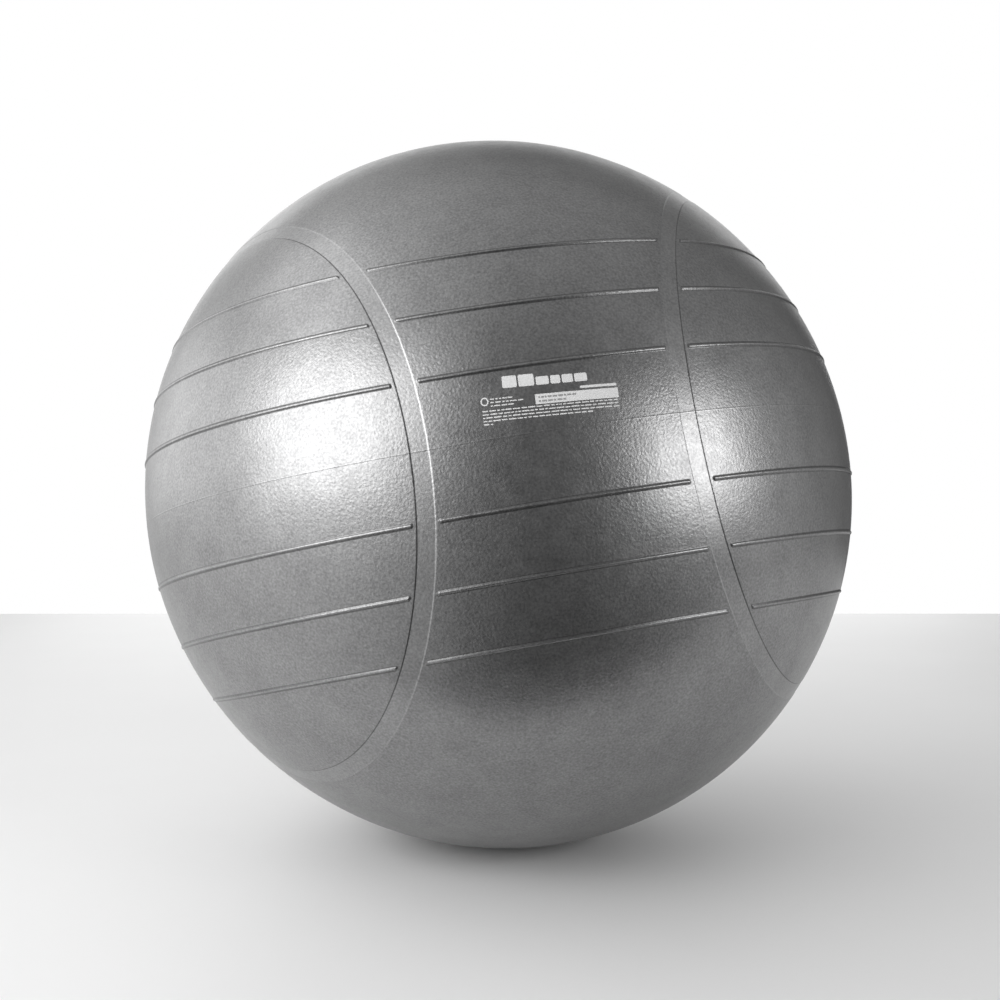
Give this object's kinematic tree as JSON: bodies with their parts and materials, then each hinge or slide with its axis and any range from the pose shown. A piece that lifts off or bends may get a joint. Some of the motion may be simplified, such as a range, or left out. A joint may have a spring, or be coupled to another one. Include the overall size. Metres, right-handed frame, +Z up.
{
  "type": "exercise ball",
  "caption": "Large inflated ball for exercise and therapy, with a ribbed soft skin and a plug valve, resting on its own small contact flat.",
  "frame": {"origin": "centre of the small flat that the ball's weight presses into the skin, on the floor", "axes": "+Z up, away from the floor; -Y is the front, the side with the print; +X is to the right seen from the front"},
  "size_m": [0.6509, 0.651, 0.6479],
  "materials": {
    "skin": "satin pearl grey soft PVC with a fine grain",
    "valve_seat": "satin soft PVC",
    "valve_plug": "smooth moulded plastic"
  },
  "bodies": {
    "ball": {"ball_shell": "skin", "valve_seat": "valve_seat"},
    "plug": {"valve_plug": "valve_plug"}
  },
  "joints": [
    {"name": "plug_pull", "type": "slide", "parent": "ball", "child": "plug", "axis": [-0.1588, 0.1167, 0.9804], "range_m": [0, 0.028]}
  ]
}
